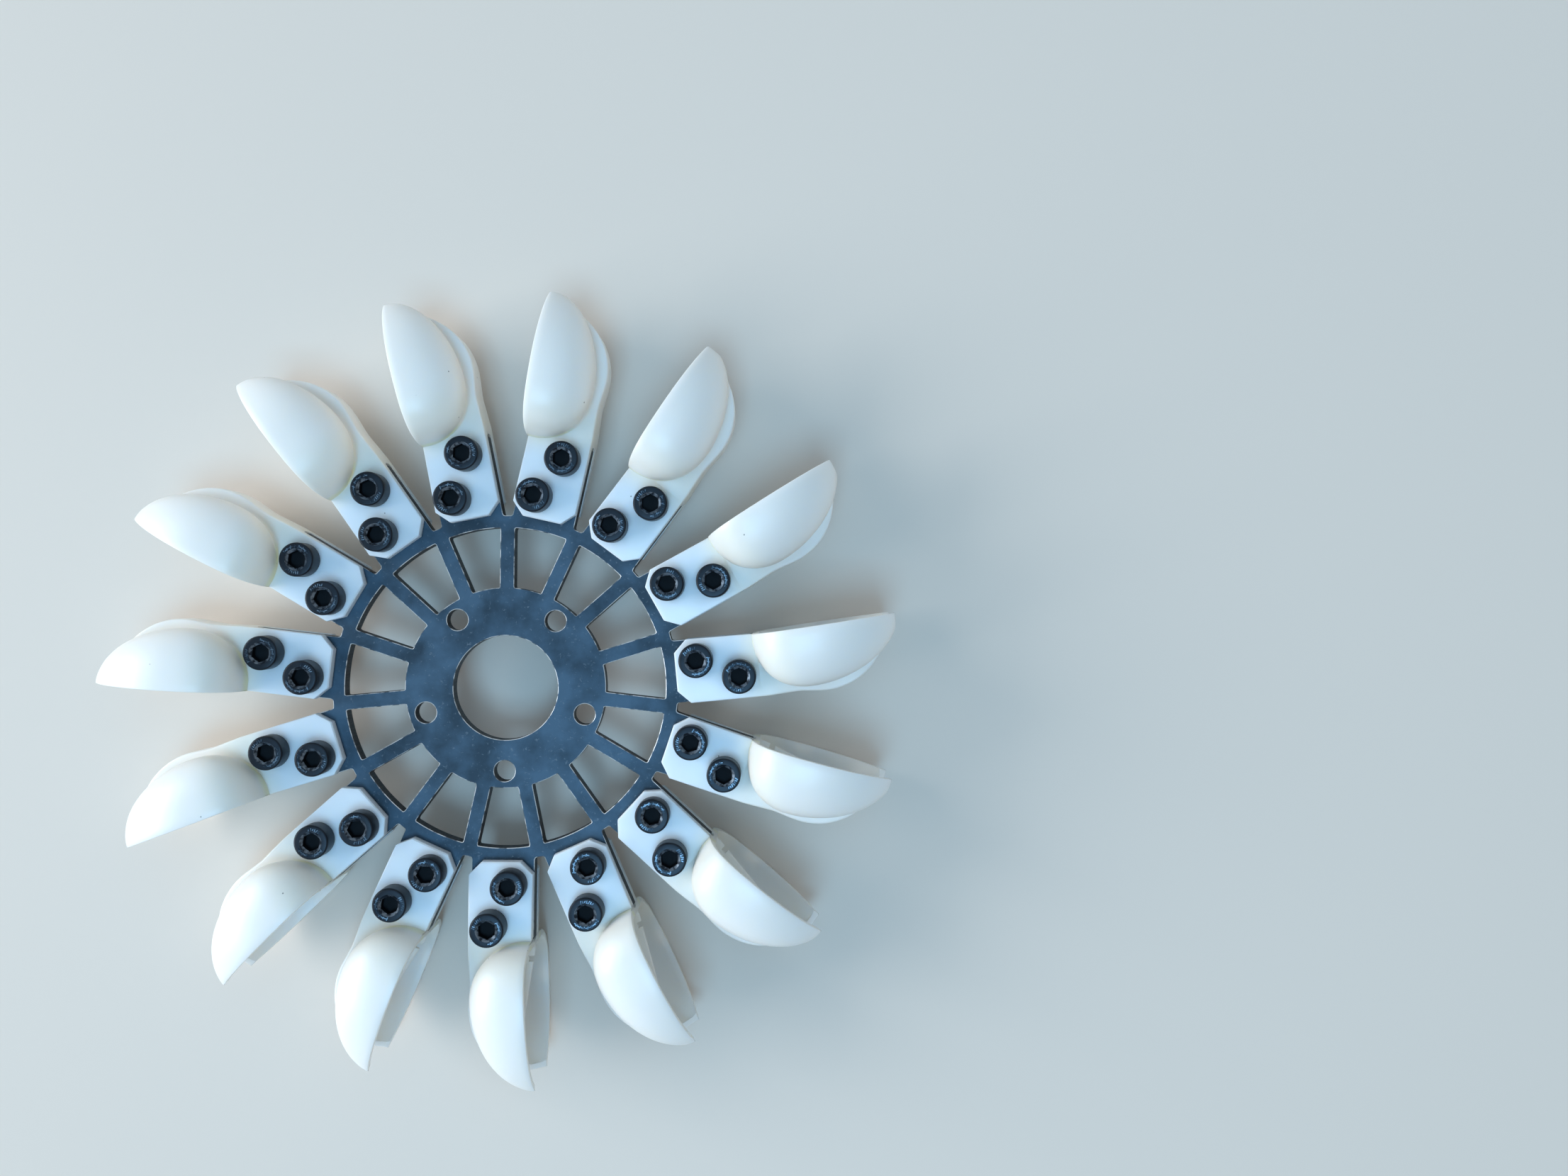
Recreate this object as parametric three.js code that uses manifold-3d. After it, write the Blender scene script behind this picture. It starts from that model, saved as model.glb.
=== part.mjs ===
// A small Pelton runner, 200 mm across the bucket tips. One laser-cut steel plate with fifteen arms carries
// fifteen moulded double-cup buckets. Each bucket is a fork that slides over its arm and is held there by two
// cap screws with lock nuts.
// Millimetres. The wheel lies flat: its axis is Z, the origin is on the axis in the middle of the plate.
import * as THREE from "three";
import { mergeVertices } from "three/addons/utils/BufferGeometryUtils.js";
import Module from "manifold-3d";

const wasm = await Module();
wasm.setup();

// The wheel
const BUCKETS = 15;
const FIRST_BUCKET_ANGLE = -Math.PI / 2;
const PITCH = (2 * Math.PI) / BUCKETS;
const CLEARANCE = 0.3;

// The steel plate
const PLATE_THICKNESS = 4;
const BORE_DIAMETER = 26.5;
const HUB_BOLT_CIRCLE = 42.2;
const HUB_BOLT_HOLE = 5.4;
const HUB_BOLTS = 5;
const WINDOW_INNER_RADIUS = 25.4;
const WINDOW_OUTER_RADIUS = 40.6;
const SPOKE_WIDTH = 3.6;
const RING_OUTER_RADIUS = 43.7;
const ARM_WIDTH = 15.8;
const ARM_END_RADIUS = 63.6;

// The cap screws and their nuts. Each place is [radius, sideways offset] on the bucket's own line.
const SCREW_PLACES = { inner: [49, 2.6], outer: [59.4, -2.3] };
const SCREW_DIAMETER = 5;
const SCREW_LENGTH = 16;
const HEAD_DIAMETER = 8.5;
const HEAD_HEIGHT = 5;
const SOCKET_ACROSS_FLATS = 4;
const SOCKET_DEPTH = 2.5;
const NUT_ACROSS_FLATS = 8;
const NUT_HEIGHT = 5;
const SCREW_HOLE_DIAMETER = 6;

// The bucket, in its own frame: X outwards along the arm, Y towards the open side of the cups, Z across.
const FORK_INNER_RADIUS = 43.5;
const FORK_SIDES = { back: -8.05, open: 8.05 };
const FORK_CHAMFER = 3.2;
const FORK_HALF_THICKNESS = 5;
const FORK_OUTER_RADIUS = 73.5;
const FORK_TAPER_RADIUS = 66.4;
const NECK_BACK = -7.6;
const ROOT_RADIUS = 63.4;
const DEEPEST_RADIUS = 78;
const WIDEST_RADIUS = 78.3;
const TIP_RADIUS = 99.5;
const OPEN_SIDE_AT_ROOT = 7.9;
const OPEN_SIDE_AT_TIP = 9.9;
const CUP_DEPTH = 15;
const CUP_HALF_WIDTH = 17.8;
const TIP_HALF_WIDTH = 8.1;
const WALL = 1.5;
const WEB_HALF_THICKNESS = 3.5;
const WEB_START_RADIUS = 69.5;
const WEB_END_RADIUS = 97.4;

// The valley between each cup's deepest line and the web, and the superellipse of the web's lip
const VALLEY = { depth: 1.1, width: 4.6 };
const LIP = { radius: 81, back: -8.1, length: 17, top: 9.6 };

// The splitter and the notch at the tips
const SPLITTER_START = [69, 7.7];
const SPLITTER_END = [97, 3.7];
const SPLITTER_HALF_WIDTH = 0.6;
const NOTCH_START_RADIUS = 93;
const NOTCH_FLOOR = 3.8;
const NOTCH_BEND = 5;
const HOLLOW_START_RADIUS = 65.6;
const HOLLOW_END_RADIUS = 98.1;

// The cups' back and sides are superellipses, from the deepest or widest place to the root and to the tip.
// Each has a power, and runs on a little past the bucket's end, so that the wall there has a height.
const BACK_TO_ROOT = { power: 2.2, past: 0.1 };
const BACK_TO_TIP = { power: 1.9, past: 1 };
const SIDE_TO_ROOT = { power: 3, past: 0.2 };
const SIDE_TO_TIP_POWER = 2;
const WALL_POWER = 0.9;

// The splitter's sides sweep up from the cups' deepest lines: slowly at first, then steeply
const SPLITTER_RISE = 1.7;
const SPLITTER_THINNING = 1.6;

// What is left at the ends of the cups: the splitter's least height and the least width of a cup's floor
const LEAST_SPLITTER = 0.1;
const LEAST_FLOOR = 1;

// How far the fork, the cups and the web reach into one another, and how far a cutter stands out
const JOIN = 1;
const CUTTER_REACH = 10;

// How many steps each rounded stretch takes
const CUP_STATIONS = 8;
const HOLLOW_STATIONS = 6;
const WALL_STEPS = 3;
const BORE_STEPS = 32;
const BOLT_HOLE_STEPS = 8;
const SCREW_STEPS = 6;
const HEAD_STEPS = 12;
const PARALLEL_STEPS = 12;
const WEB_STATIONS = 7;
const WINDOW_STEPS = { inner: 2, outer: 4 };
const SPLITTER_SHARES = [0.3, 0.6, 1];

const blackSteel = new THREE.MeshStandardMaterial({ color: 0x39434c, roughness: 0.55, metalness: 0.6 });
const whiteNylon = new THREE.MeshStandardMaterial({ color: 0xe9ecea, roughness: 0.4, metalness: 0 });
const blackOxide = new THREE.MeshStandardMaterial({ color: 0x1d2228, roughness: 0.45, metalness: 0.7 });

// A closed geometry as a solid that can be joined and cut
function solidOf(geometry) {
  const bare = geometry.index ? geometry.toNonIndexed() : geometry.clone();
  bare.deleteAttribute("normal");
  bare.deleteAttribute("uv");
  const merged = mergeVertices(bare, 1e-4);
  return new wasm.Manifold(
    new wasm.Mesh({
      numProp: 3,
      vertProperties: new Float32Array(merged.attributes.position.array),
      triVerts: new Uint32Array(merged.index.array),
    }),
  );
}

function geometryOf(solid) {
  const mesh = solid.getMesh();
  const geometry = new THREE.BufferGeometry();
  geometry.setAttribute("position", new THREE.BufferAttribute(new Float32Array(mesh.vertProperties), 3));
  geometry.setIndex(new THREE.BufferAttribute(new Uint32Array(mesh.triVerts), 1));
  const flat = geometry.toNonIndexed();
  flat.computeVertexNormals();
  return flat;
}

function namedMesh(name, geometry, material) {
  const mesh = new THREE.Mesh(geometry, material);
  mesh.name = name;
  return mesh;
}

// A flat outline [[x, y], ...] with a thickness, between two heights
function slab(outline, low, high) {
  const shape = new THREE.Shape(outline.map(([x, y]) => new THREE.Vector2(x, y)));
  const geometry = new THREE.ExtrudeGeometry(shape, { depth: high - low, bevelEnabled: false });
  return geometry.translate(0, 0, low);
}

// A flat ring of points across X as triangles that face away from +X
function capTriangles(ring) {
  const flat = ring.map(([, y, z]) => new THREE.Vector2(z, y));
  return THREE.ShapeUtils.triangulateShape(flat, []).map(([a, b, c]) =>
    THREE.ShapeUtils.area([flat[a], flat[b], flat[c]]) > 0 ? [a, b, c] : [a, c, b],
  );
}

// A skin over rings of points, closed flat at each end. All rings have the same number of points, lie
// across X and turn counterclockwise when seen from before the first ring.
function loft(rings) {
  const corners = [];
  const sides = rings[0].length;
  for (let i = 0; i + 1 < rings.length; i++)
    for (let j = 0; j < sides; j++) {
      const next = (j + 1) % sides;
      const [a, b] = [rings[i][j], rings[i][next]];
      const [c, d] = [rings[i + 1][j], rings[i + 1][next]];
      corners.push(...a, ...c, ...b, ...b, ...c, ...d);
    }
  const [first, last] = [rings[0], rings.at(-1)];
  for (const [a, b, c] of capTriangles(first)) corners.push(...first[a], ...first[b], ...first[c]);
  for (const [a, b, c] of capTriangles(last)) corners.push(...last[a], ...last[c], ...last[b]);
  const geometry = new THREE.BufferGeometry();
  geometry.setAttribute("position", new THREE.BufferAttribute(new Float32Array(corners), 3));
  return geometry;
}

// The fall of a superellipse: 1 at the middle, 0 at the end
function fall(u, power) {
  return Math.pow(Math.max(0, 1 - Math.pow(Math.min(Math.abs(u), 1), power)), 1 / power);
}

// Stations between two radii, closer together at both ends
function stations(from, to, count) {
  const middle = (from + to) / 2;
  const half = (to - from) / 2;
  return Array.from({ length: count + 1 }, (_, i) => middle - half * Math.cos((Math.PI * i) / count));
}

// The cups' open side, their back and their half width, each at a radius
function openSide(radius) {
  const along = (radius - ROOT_RADIUS) / (TIP_RADIUS - ROOT_RADIUS);
  return OPEN_SIDE_AT_ROOT + along * (OPEN_SIDE_AT_TIP - OPEN_SIDE_AT_ROOT);
}

function cupBack(radius) {
  const [end, { power, past }] =
    radius < DEEPEST_RADIUS ? [ROOT_RADIUS, BACK_TO_ROOT] : [TIP_RADIUS, BACK_TO_TIP];
  const length = Math.abs(end - DEEPEST_RADIUS) + past;
  return openSide(radius) - CUP_DEPTH * fall((radius - DEEPEST_RADIUS) / length, power);
}

function cupHalfWidth(radius) {
  if (radius < WIDEST_RADIUS) {
    const length = WIDEST_RADIUS - ROOT_RADIUS + SIDE_TO_ROOT.past;
    return CUP_HALF_WIDTH * fall((WIDEST_RADIUS - radius) / length, SIDE_TO_ROOT.power);
  }
  const tipFall = TIP_HALF_WIDTH / CUP_HALF_WIDTH;
  const length = (TIP_RADIUS - WIDEST_RADIUS) / fall(tipFall, SIDE_TO_TIP_POWER);
  return CUP_HALF_WIDTH * fall((radius - WIDEST_RADIUS) / length, SIDE_TO_TIP_POWER);
}

// A curve parallel to one of those, above it by a distance, or below it where the distance is negative
function parallelTo(curve, radius, distance) {
  const away = Math.sign(distance);
  let best = -Infinity;
  for (let i = -PARALLEL_STEPS; i <= PARALLEL_STEPS; i++) {
    const step = (i / PARALLEL_STEPS) * Math.abs(distance);
    const rise = Math.sqrt(distance * distance - step * step);
    const at = THREE.MathUtils.clamp(radius + step, ROOT_RADIUS, TIP_RADIUS);
    best = Math.max(best, away * curve(at) + rise);
  }
  return away * best;
}

// The round wall of the front cup at one radius, from its rim down to its lowest point
function cupWall(radius, open, bottom, rim, middle) {
  return Array.from({ length: WALL_STEPS + 1 }, (_, i) => {
    const turn = (i / WALL_STEPS) * (Math.PI / 2);
    const y = open - (open - bottom) * Math.pow(Math.sin(turn), WALL_POWER);
    const z = middle + (rim - middle) * Math.pow(Math.max(0, Math.cos(turn)), WALL_POWER);
    return [radius, y, z];
  });
}

// A front half and its mirror image as one ring
function mirroredRing(front) {
  const rear = front.map(([x, y, z]) => [x, y, -z]).reverse();
  return [...front, ...rear].reverse();
}

// How far from the middle each cup is deepest: a third of the way from the web's side to the rim
function deepestLine(radius) {
  const half = Math.max(cupHalfWidth(radius), FORK_HALF_THICKNESS);
  return WEB_HALF_THICKNESS + (half - WEB_HALF_THICKNESS) / 3;
}

// The outside of both cups at one radius. From its deepest line each cup's back rises to the web
function domeRing(radius) {
  const half = Math.max(cupHalfWidth(radius), FORK_HALF_THICKNESS);
  const back = cupBack(radius);
  const deepest = deepestLine(radius);
  const valley = VALLEY.depth * Math.min((deepest - WEB_HALF_THICKNESS) / VALLEY.width, 1);
  const wall = cupWall(radius, openSide(radius), back, half, deepest);
  return mirroredRing([...wall, [radius, back + valley, WEB_HALF_THICKNESS]]);
}

// The splitter's top is lower than the rims, more so towards the tips
function splitterTop(radius) {
  const along = (radius - SPLITTER_START[0]) / (SPLITTER_END[0] - SPLITTER_START[0]);
  return SPLITTER_START[1] + along * (SPLITTER_END[1] - SPLITTER_START[1]);
}

// The hollow of both cups at one radius: down the front cup's wall, up the splitter's side, over its top, and
// the same in the rear cup
function hollowRing(radius) {
  const open = openSide(radius);
  const floor = parallelTo(cupBack, radius, WALL);
  const rim = parallelTo(cupHalfWidth, radius, -WALL);
  const foot = Math.min(deepestLine(radius), rim - LEAST_FLOOR);
  const top = Math.max(Math.min(splitterTop(radius), open), floor + LEAST_SPLITTER);
  const splitter = SPLITTER_SHARES.map((up) => [
    radius,
    floor + (top - floor) * up ** SPLITTER_RISE,
    SPLITTER_HALF_WIDTH + (foot - SPLITTER_HALF_WIDTH) * (1 - up) ** SPLITTER_THINNING,
  ]);
  const mouth = [radius, open + CUTTER_REACH, rim];
  return mirroredRing([mouth, ...cupWall(radius, open, floor, rim, foot), ...splitter]);
}

// The fork runs on behind the cups up to where the web takes over
function forkOutline() {
  const { back, open } = FORK_SIDES;
  return [
    [FORK_INNER_RADIUS, back + FORK_CHAMFER],
    [FORK_INNER_RADIUS + FORK_CHAMFER, back],
    [FORK_TAPER_RADIUS, back],
    [FORK_OUTER_RADIUS, NECK_BACK],
    [FORK_OUTER_RADIUS, cupBack(FORK_OUTER_RADIUS) + VALLEY.depth + JOIN],
    [ROOT_RADIUS + JOIN, cupBack(ROOT_RADIUS + JOIN) + VALLEY.depth + JOIN],
    [ROOT_RADIUS + JOIN, openSide(ROOT_RADIUS)],
    [FORK_INNER_RADIUS + FORK_CHAMFER, open],
    [FORK_INNER_RADIUS, open - FORK_CHAMFER],
  ];
}

// The web's back bulges out into a lip behind the cups and runs into them near the tip
function webBack(radius) {
  const along = THREE.MathUtils.smoothstep(radius, FORK_OUTER_RADIUS, LIP.radius);
  if (radius < LIP.radius) return NECK_BACK + (LIP.back - NECK_BACK) * along;
  return LIP.top + (LIP.back - LIP.top) * fall((radius - LIP.radius) / LIP.length, 2);
}

// The web runs along the back of the cups, between them
function webOutline() {
  const radii = stations(WEB_START_RADIUS, WEB_END_RADIUS, WEB_STATIONS);
  const outside = radii.map((radius) => [radius, webBack(radius)]);
  const last = WEB_END_RADIUS - JOIN;
  const reach = VALLEY.depth + JOIN;
  const inside = radii.map((radius) => [Math.min(radius, last), parallelTo(cupBack, radius, reach)]);
  return [...outside, ...inside.reverse()];
}

// The notch at the tips lets the jet in: a rounded vee through the outer walls
function notchCutter() {
  const half = TIP_HALF_WIDTH;
  const profile = [
    [-half, OPEN_SIDE_AT_TIP],
    [-half / 2, NOTCH_BEND],
    [0, NOTCH_FLOOR],
    [half / 2, NOTCH_BEND],
    [half, OPEN_SIDE_AT_TIP],
    [half, OPEN_SIDE_AT_TIP + CUTTER_REACH],
    [-half, OPEN_SIDE_AT_TIP + CUTTER_REACH],
  ];
  const ring = (radius) => profile.map(([z, y]) => [radius, y, z]);
  return loft([ring(NOTCH_START_RADIUS), ring(TIP_RADIUS + CUTTER_REACH)]);
}

function roundRod(diameter, low, high, steps) {
  const rod = new THREE.CylinderGeometry(diameter / 2, diameter / 2, high - low, steps);
  return rod.rotateX(Math.PI / 2).translate(0, 0, (low + high) / 2);
}

function hexRod(acrossFlats, low, high) {
  return roundRod(acrossFlats / Math.cos(Math.PI / 6), low, high, 6);
}

function screwHoles() {
  return Object.values(SCREW_PLACES).map(([x, y]) =>
    solidOf(roundRod(SCREW_HOLE_DIAMETER, -CUTTER_REACH, CUTTER_REACH, SCREW_STEPS).translate(x, y, 0)),
  );
}

// The gap between the fork's two tines, where the arm goes
function armSlot() {
  const [from, to] = [FORK_INNER_RADIUS - CUTTER_REACH, ARM_END_RADIUS + CLEARANCE];
  const [back, open] = [FORK_SIDES.back - CUTTER_REACH, FORK_SIDES.open + CUTTER_REACH];
  const half = PLATE_THICKNESS / 2 + CLEARANCE;
  return slab([[from, back], [to, back], [to, open], [from, open]], -half, half);
}

function makeBucket() {
  const dome = solidOf(loft(stations(ROOT_RADIUS, TIP_RADIUS, CUP_STATIONS).map(domeRing)));
  const fork = solidOf(slab(forkOutline(), -FORK_HALF_THICKNESS, FORK_HALF_THICKNESS));
  const web = solidOf(slab(webOutline(), -WEB_HALF_THICKNESS, WEB_HALF_THICKNESS));
  const hollow = loft(stations(HOLLOW_START_RADIUS, HOLLOW_END_RADIUS, HOLLOW_STATIONS).map(hollowRing));
  let bucket = dome.add(fork).add(web);
  for (const cutter of [hollow, notchCutter(), armSlot()]) bucket = bucket.subtract(solidOf(cutter));
  for (const hole of screwHoles()) bucket = bucket.subtract(hole);
  return geometryOf(bucket);
}

// A cap screw pushed in from the front, with its lock nut on the back: one solid, as they are when tightened
function makeScrew() {
  const seat = FORK_HALF_THICKNESS + CLEARANCE;
  const top = seat + HEAD_HEIGHT;
  const head = solidOf(roundRod(HEAD_DIAMETER, seat, top, HEAD_STEPS));
  const socket = solidOf(hexRod(SOCKET_ACROSS_FLATS, top - SOCKET_DEPTH, top + CUTTER_REACH));
  const shank = solidOf(roundRod(SCREW_DIAMETER, seat - SCREW_LENGTH, seat + JOIN, SCREW_STEPS));
  const nut = solidOf(hexRod(NUT_ACROSS_FLATS, -seat - NUT_HEIGHT, -seat));
  return geometryOf(head.subtract(socket).add(shank).add(nut));
}

function polar(radius, angle) {
  return new THREE.Vector2(radius * Math.cos(angle), radius * Math.sin(angle));
}

function roundHole(centre, diameter, steps, turned = 0) {
  const points = Array.from({ length: steps }, (_, i) =>
    polar(diameter / 2, turned - (2 * Math.PI * i) / steps).add(centre),
  );
  return new THREE.Path(points);
}

// The arms stick out of the ring, one behind each bucket
function plateOutline() {
  const points = [];
  const half = ARM_WIDTH / 2;
  const alongRing = Math.sqrt(RING_OUTER_RADIUS ** 2 - half ** 2);
  for (let k = 0; k < BUCKETS; k++) {
    const angle = FIRST_BUCKET_ANGLE + k * PITCH;
    const arm = [[alongRing, -half], [ARM_END_RADIUS, -half], [ARM_END_RADIUS, half], [alongRing, half]];
    for (const [x, y] of arm) points.push(new THREE.Vector2(x, y).rotateAround(new THREE.Vector2(), angle));
  }
  return new THREE.Shape(points);
}

// One window between two spokes whose sides are parallel
function windowPath(angle) {
  const arc = (radius, steps) => {
    const reach = PITCH / 2 - Math.asin(SPOKE_WIDTH / 2 / radius);
    return Array.from({ length: steps + 1 }, (_, i) => polar(radius, angle + reach * ((2 * i) / steps - 1)));
  };
  const outer = arc(WINDOW_OUTER_RADIUS, WINDOW_STEPS.outer).reverse();
  return new THREE.Path([...outer, ...arc(WINDOW_INNER_RADIUS, WINDOW_STEPS.inner)]);
}

function makePlate() {
  const shape = plateOutline();
  shape.holes.push(roundHole(new THREE.Vector2(), BORE_DIAMETER, BORE_STEPS));
  for (let i = 0; i < HUB_BOLTS; i++) {
    const angle = FIRST_BUCKET_ANGLE + (i * 2 * Math.PI) / HUB_BOLTS;
    shape.holes.push(roundHole(polar(HUB_BOLT_CIRCLE / 2, angle), HUB_BOLT_HOLE, BOLT_HOLE_STEPS));
  }
  for (let k = 0; k < BUCKETS; k++) {
    const angle = FIRST_BUCKET_ANGLE + k * PITCH;
    shape.holes.push(windowPath(angle));
    for (const [x, y] of Object.values(SCREW_PLACES)) {
      const centre = new THREE.Vector2(x, y).rotateAround(new THREE.Vector2(), angle);
      shape.holes.push(roundHole(centre, SCREW_HOLE_DIAMETER, SCREW_STEPS, angle - Math.PI / 2));
    }
  }
  const geometry = new THREE.ExtrudeGeometry(shape, { depth: PLATE_THICKNESS, bevelEnabled: false });
  return geometry.translate(0, 0, -PLATE_THICKNESS / 2);
}

const wheel = new THREE.Group();
wheel.add(namedMesh("runner_plate", makePlate(), blackSteel));

const bucketGeometry = makeBucket();
const screwGeometry = makeScrew();
for (let k = 0; k < BUCKETS; k++) {
  const number = String(k + 1).padStart(2, "0");
  const station = new THREE.Group();
  station.rotation.z = FIRST_BUCKET_ANGLE + k * PITCH;
  station.add(namedMesh(`bucket_${number}`, bucketGeometry, whiteNylon));
  for (const [place, [x, y]] of Object.entries(SCREW_PLACES)) {
    const screw = namedMesh(`cap_screw_${number}_${place}`, screwGeometry, blackOxide);
    screw.position.set(x, y, 0);
    station.add(screw);
  }
  wheel.add(station);
}

export default wheel;
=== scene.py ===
# %% [markdown]
# # A small Pelton runner
#
# This wheel turns a jet of water into rotation. A flat steel plate carries fifteen moulded nylon
# buckets, each held by two black cap screws. The plate, the buckets and the screws were laid out in
# CAD, and that model is the fixed frame here: nothing in it is moved or resized. This notebook
# gives each piece its fine shape and its finish.

# %% Load the frame
import math

import bmesh
import bpy
from mathutils import Matrix, Vector


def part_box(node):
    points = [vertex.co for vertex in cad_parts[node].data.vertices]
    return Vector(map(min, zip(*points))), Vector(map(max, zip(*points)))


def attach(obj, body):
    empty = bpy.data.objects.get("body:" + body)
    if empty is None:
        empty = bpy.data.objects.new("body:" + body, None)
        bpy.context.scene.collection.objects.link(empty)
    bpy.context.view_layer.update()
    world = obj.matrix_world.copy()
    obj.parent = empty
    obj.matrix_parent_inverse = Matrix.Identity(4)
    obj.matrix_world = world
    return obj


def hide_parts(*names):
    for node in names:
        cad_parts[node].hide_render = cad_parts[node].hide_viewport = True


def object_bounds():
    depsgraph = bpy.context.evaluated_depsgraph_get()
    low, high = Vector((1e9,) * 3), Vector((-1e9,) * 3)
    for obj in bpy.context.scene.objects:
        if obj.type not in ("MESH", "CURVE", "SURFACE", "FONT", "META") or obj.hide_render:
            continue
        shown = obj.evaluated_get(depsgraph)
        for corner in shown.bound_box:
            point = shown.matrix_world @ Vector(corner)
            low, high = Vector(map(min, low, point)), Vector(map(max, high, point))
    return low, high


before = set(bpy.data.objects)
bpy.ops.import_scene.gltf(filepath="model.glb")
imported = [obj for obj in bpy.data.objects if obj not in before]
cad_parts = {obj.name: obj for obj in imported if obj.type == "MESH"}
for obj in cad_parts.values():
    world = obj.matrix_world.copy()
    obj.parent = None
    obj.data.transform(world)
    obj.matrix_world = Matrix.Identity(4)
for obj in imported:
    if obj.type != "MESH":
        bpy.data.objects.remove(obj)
cad_low, cad_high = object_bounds()
MM = 0.001
BUCKETS = sum(name.startswith("bucket_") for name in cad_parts)
PITCH = math.tau / BUCKETS
FIRST_ANGLE = -math.pi / 2
print(f"{BUCKETS} buckets, {(cad_high.x - cad_low.x) / MM:.1f} mm across")

# %% [markdown]
# ## The camera
#
# The wheel lies on a table and is seen from straight above, a little to its right. A lens of 28 mm
# on a full frame at about 30 cm makes the near rims of the cups look larger than the plate behind
# them. The centres of the thirty screw heads gave the camera's place and its slight tilt.

# %% Camera
CAMERA_PLACE = Vector((66.5, 24.1, 314.8)) * MM
CAMERA_TILT = (0.0063, -0.0122, 0.0116)
FOCAL_LENGTH_IN_PIXELS = 1735
IMAGE_WIDTH = 2212
SENSOR_WIDTH = 36

bpy.ops.object.camera_add(location=CAMERA_PLACE, rotation=CAMERA_TILT)
camera = bpy.context.object
camera.data.sensor_fit = "HORIZONTAL"
camera.data.sensor_width = SENSOR_WIDTH
camera.data.lens = SENSOR_WIDTH * FOCAL_LENGTH_IN_PIXELS / IMAGE_WIDTH
bpy.context.scene.camera = camera
print(f"lens {camera.data.lens:.2f} mm")

# %% [markdown]
# ## Small helpers
#
# Every operator acts on what is selected, so a step always starts by picking one piece and nothing
# else. The other helpers make the two kinds of body that this wheel is full of: a slab with a flat
# outline, and a skin over ribs.


# %% Helpers for picking and shaping
def deselect():
    if bpy.context.mode != "OBJECT":
        bpy.ops.object.mode_set(mode="OBJECT")
    bpy.ops.object.select_all(action="DESELECT")


def pick(*pieces):
    """Selects these pieces and nothing else. The first one is the active one."""
    deselect()
    for piece in pieces:
        piece.select_set(True)
    bpy.context.view_layer.objects.active = pieces[0]


def select_edges(piece, test):
    """Opens a piece in edit mode with only the edges selected that the test accepts."""
    pick(piece)
    bpy.ops.object.mode_set(mode="EDIT")
    bpy.ops.mesh.select_mode(type="EDGE")
    bpy.ops.mesh.select_all(action="DESELECT")
    shape = bmesh.from_edit_mesh(piece.data)
    shape.normal_update()
    found = [edge for edge in shape.edges if test(edge)]
    for edge in found:
        edge.select_set(True)
    bmesh.update_edit_mesh(piece.data)
    return len(found)


def round_edges(piece, test, radius, segments=2, material=-1):
    """Bevels the edges that the test accepts. The radius is in millimetres."""
    count = select_edges(piece, test)
    if count:
        bpy.ops.mesh.bevel(
            offset=radius * MM, segments=segments, affect="EDGES", material=material, clamp_overlap=False
        )
    bpy.ops.object.mode_set(mode="OBJECT")
    return count


def merge_points(piece, distance):
    """Merges points that lie closer together than a distance in millimetres, so that no tiny edges stay."""
    pick(piece)
    bpy.ops.object.mode_set(mode="EDIT")
    bpy.ops.mesh.select_all(action="SELECT")
    bpy.ops.mesh.remove_doubles(threshold=distance * MM)
    bpy.ops.mesh.dissolve_degenerate(threshold=distance * MM)
    bpy.ops.object.mode_set(mode="OBJECT")
    return piece


def face_outwards(piece):
    pick(piece)
    bpy.ops.object.mode_set(mode="EDIT")
    bpy.ops.mesh.select_all(action="SELECT")
    bpy.ops.mesh.normals_make_consistent(inside=False)
    bpy.ops.object.mode_set(mode="OBJECT")
    return piece


def join(*pieces):
    """Makes several pieces one object, named as the first."""
    pick(*pieces)
    if len(pieces) > 1:
        bpy.ops.object.join()
    return bpy.context.object


def combine(piece, tool, operation):
    """Adds one body to another, or cuts it away. The second body is used up."""
    pick(piece)
    step = piece.modifiers.new("step", "BOOLEAN")
    step.operation = operation
    step.solver = "EXACT"
    step.object = tool
    bpy.ops.object.modifier_apply(modifier=step.name)
    bpy.data.objects.remove(tool)
    return piece


# %% Helpers that make a body
SAME_PLACE = 1e-7


def slab(name, outline, low, high):
    """A flat outline with a thickness. Places are in millimetres."""
    deselect()
    bpy.ops.mesh.primitive_circle_add(vertices=len(outline), fill_type="NGON")
    body = bpy.context.object
    body.name = name
    for vertex, (x, y) in zip(body.data.vertices, outline):
        vertex.co = Vector((x, y, low)) * MM
    bpy.ops.object.mode_set(mode="EDIT")
    bpy.ops.mesh.select_all(action="SELECT")
    bpy.ops.mesh.extrude_region_move(TRANSFORM_OT_translate={"value": (0, 0, (high - low) * MM)})
    return face_outwards(body)


def skin(name, rings):
    """A sheet rolled over closed ribs and closed at both ends. All ribs have the same number of points."""
    deselect()
    along, around = len(rings) - 1, len(rings[0])
    bpy.ops.mesh.primitive_grid_add(x_subdivisions=along, y_subdivisions=around, size=1)
    body = bpy.context.object
    body.name = name
    for vertex in body.data.vertices:
        rib = round((vertex.co.x + 0.5) * along)
        point = round((vertex.co.y + 0.5) * around) % around
        vertex.co = Vector(rings[rib][point]) * MM
    bpy.ops.object.mode_set(mode="EDIT")
    bpy.ops.mesh.select_all(action="SELECT")
    bpy.ops.mesh.remove_doubles(threshold=SAME_PLACE)
    bpy.ops.mesh.fill_holes(sides=0)
    return face_outwards(body)


def rod(name, diameter, low, high, x=0, y=0, sides=48):
    """A round rod along Z, or a hexagonal one with six sides."""
    deselect()
    bpy.ops.mesh.primitive_cylinder_add(
        vertices=sides,
        radius=diameter / 2 * MM,
        depth=(high - low) * MM,
        location=(x * MM, y * MM, (low + high) / 2 * MM),
    )
    body = bpy.context.object
    body.name = name
    bpy.ops.object.transform_apply(location=True, rotation=True, scale=True)
    return body


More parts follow.
